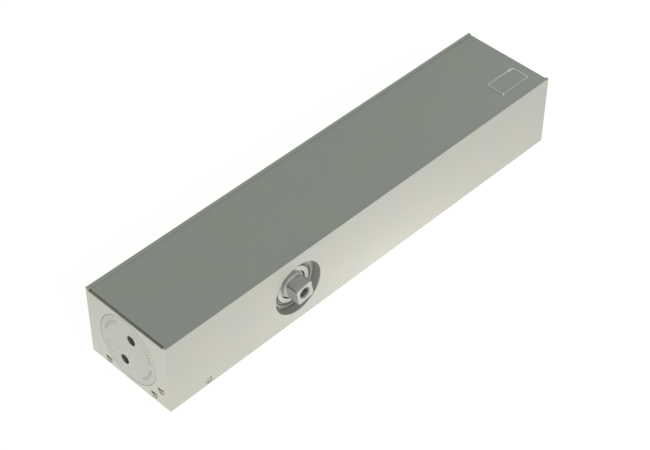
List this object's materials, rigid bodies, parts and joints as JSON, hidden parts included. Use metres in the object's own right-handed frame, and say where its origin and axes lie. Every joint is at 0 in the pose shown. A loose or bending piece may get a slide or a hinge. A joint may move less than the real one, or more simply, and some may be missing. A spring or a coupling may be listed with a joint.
{
  "type": "door closer",
  "caption": "Surface-mounted cam-action door closer: rectangular silver body with clip-on cover, recessed square spindle, pistons, springs, valves and end plugs.",
  "frame": {"origin": "centre of the flat back face that is screwed to the door", "axes": "+X along the body towards the closing springs, -Y out of the side that the spindle comes out of, +Z out of the front, under the cover"},
  "size_m": [0.281, 0.0628, 0.045],
  "materials": {
    "satin_silver": "satin",
    "cover_silver": "satin",
    "zinc_steel": "satin",
    "bright_steel": "polished",
    "dark_steel": "oiled",
    "spring_steel": "oiled",
    "brass": "satin",
    "black_rubber": "matt",
    "black_plastic": "matt"
  },
  "bodies": {
    "body": {"housing": "satin_silver", "bearing_carrier": "zinc_steel", "carrier_seal": "black_rubber", "near_bearing_cup": "bright_steel", "shaft_seal": "black_rubber", "far_bearing_cup": "bright_steel", "far_cap_seal": "black_rubber", "far_bearing_cap": "satin_silver", "damper_end_plug": "satin_silver", "damper_plug_seal": "black_rubber", "spring_end_plug": "satin_silver", "spring_plug_seal": "black_rubber", "channel_plug": "dark_steel", "outer_spring": "spring_steel", "inner_spring": "spring_steel", "damper_spring": "spring_steel"},
    "cover": {"front_cover": "cover_silver", "cover_stud_1": "black_plastic", "cover_stud_2": "black_plastic", "cover_stud_3": "black_plastic", "cover_stud_4": "black_plastic"},
    "spindle": {"cam_spindle": "zinc_steel"},
    "near_cage": {"near_needle_cage": "dark_steel"},
    "far_cage": {"far_needle_cage": "dark_steel"},
    "spring_side_piston": {"spring_piston": "dark_steel", "spring_roller_pin": "dark_steel"},
    "spring_side_roller": {"spring_roller": "bright_steel"},
    "damper_side_piston": {"damper_piston": "dark_steel", "piston_ring": "black_plastic", "damper_roller_pin": "dark_steel", "check_valve_cage": "brass"},
    "damper_side_roller": {"damper_roller": "bright_steel"},
    "check_ball": {"check_valve_ball": "bright_steel"},
    "adjusting_screw": {"spring_adjusting_screw": "dark_steel", "adjusting_screw_seal": "black_rubber"},
    "seat": {"spring_seat": "dark_steel"},
    "closing_valve": {"closing_speed_valve": "brass", "closing_speed_valve_seal": "black_rubber"},
    "latching_valve": {"latching_speed_valve": "brass", "latching_speed_valve_seal": "black_rubber"},
    "backcheck": {"backcheck_valve": "brass", "backcheck_valve_seal": "black_rubber"}
  },
  "joints": [
    {"name": "spring_piston_slide", "type": "slide", "parent": "body", "child": "spring_side_piston", "axis": [1, 0, 0], "range_m": [0, 0.0089], "stiffness_N_per_m": 2000, "springref_m": -0.005, "deforming": ["outer_spring", "inner_spring"]},
    {"name": "spindle_turn", "type": "hinge", "parent": "body", "child": "spindle", "pos_m": [-0.0532, 0, 0.0222], "axis": [0, -1, 0], "range_deg": [0, 174]},
    {"name": "damper_piston_slide", "type": "slide", "parent": "body", "child": "damper_side_piston", "axis": [1, 0, 0], "range_m": [0, 0.0092], "deforming": ["damper_spring"]},
    {"name": "spring_roller_roll", "type": "hinge", "parent": "spring_side_piston", "child": "spring_side_roller", "pos_m": [-0.0377, 0, 0.0222], "axis": [0, -1, 0], "range_deg": [-314, 0]},
    {"name": "damper_roller_roll", "type": "hinge", "parent": "damper_side_piston", "child": "damper_side_roller", "pos_m": [-0.07812, 0, 0.0222], "axis": [0, -1, 0], "range_deg": [-314, 0]},
    {"name": "near_cage_turn", "type": "hinge", "parent": "body", "child": "near_cage", "pos_m": [-0.0532, -0.0231, 0.0222], "axis": [0, -1, 0], "range_deg": [0, 77]},
    {"name": "far_cage_turn", "type": "hinge", "parent": "body", "child": "far_cage", "pos_m": [-0.0532, 0.0214, 0.0222], "axis": [0, -1, 0], "range_deg": [0, 77]},
    {"name": "check_ball_lift", "type": "slide", "parent": "damper_side_piston", "child": "check_ball", "axis": [-1, 0, 0], "range_m": [0, 0.0006]},
    {"name": "spring_seat_slide", "type": "slide", "parent": "body", "child": "seat", "axis": [-1, 0, 0], "range_m": [0, 0.012], "deforming": ["outer_spring", "inner_spring"]},
    {"name": "adjusting_screw_turn", "type": "hinge", "parent": "body", "child": "adjusting_screw", "pos_m": [0.1245, 0, 0.0222], "axis": [-1, 0, 0], "range_deg": [0, 2940]},
    {"name": "closing_speed_turn", "type": "hinge", "parent": "body", "child": "closing_valve", "pos_m": [-0.1397, -0.0173, 0.004], "axis": [-1, 0, 0], "range_deg": [-360, 360]},
    {"name": "latching_speed_turn", "type": "hinge", "parent": "body", "child": "latching_valve", "pos_m": [-0.1397, -0.0228, 0.0107], "axis": [-1, 0, 0], "range_deg": [-360, 360]},
    {"name": "backcheck_turn", "type": "hinge", "parent": "body", "child": "backcheck", "pos_m": [-0.1397, 0.0162, 0.0036], "axis": [-1, 0, 0], "range_deg": [-360, 360]},
    {"name": "cover_lift", "type": "slide", "parent": "body", "child": "cover", "axis": [0, 0, 1], "range_m": [0, 0.03]}
  ],
  "couplings": [
    {"joint": "spindle_turn", "follows": "spring_piston_slide", "rad_per_m": 333.33},
    {"joint": "damper_piston_slide", "follows": "spring_piston_slide", "ratio": 1},
    {"joint": "spring_roller_roll", "follows": "spring_piston_slide", "rad_per_m": -600},
    {"joint": "damper_roller_roll", "follows": "spring_piston_slide", "rad_per_m": -600},
    {"joint": "near_cage_turn", "follows": "spring_piston_slide", "rad_per_m": 146.67},
    {"joint": "far_cage_turn", "follows": "spring_piston_slide", "rad_per_m": 146.67},
    {"joint": "adjusting_screw_turn", "follows": "spring_seat_slide", "rad_per_m": 4188.8}
  ]
}
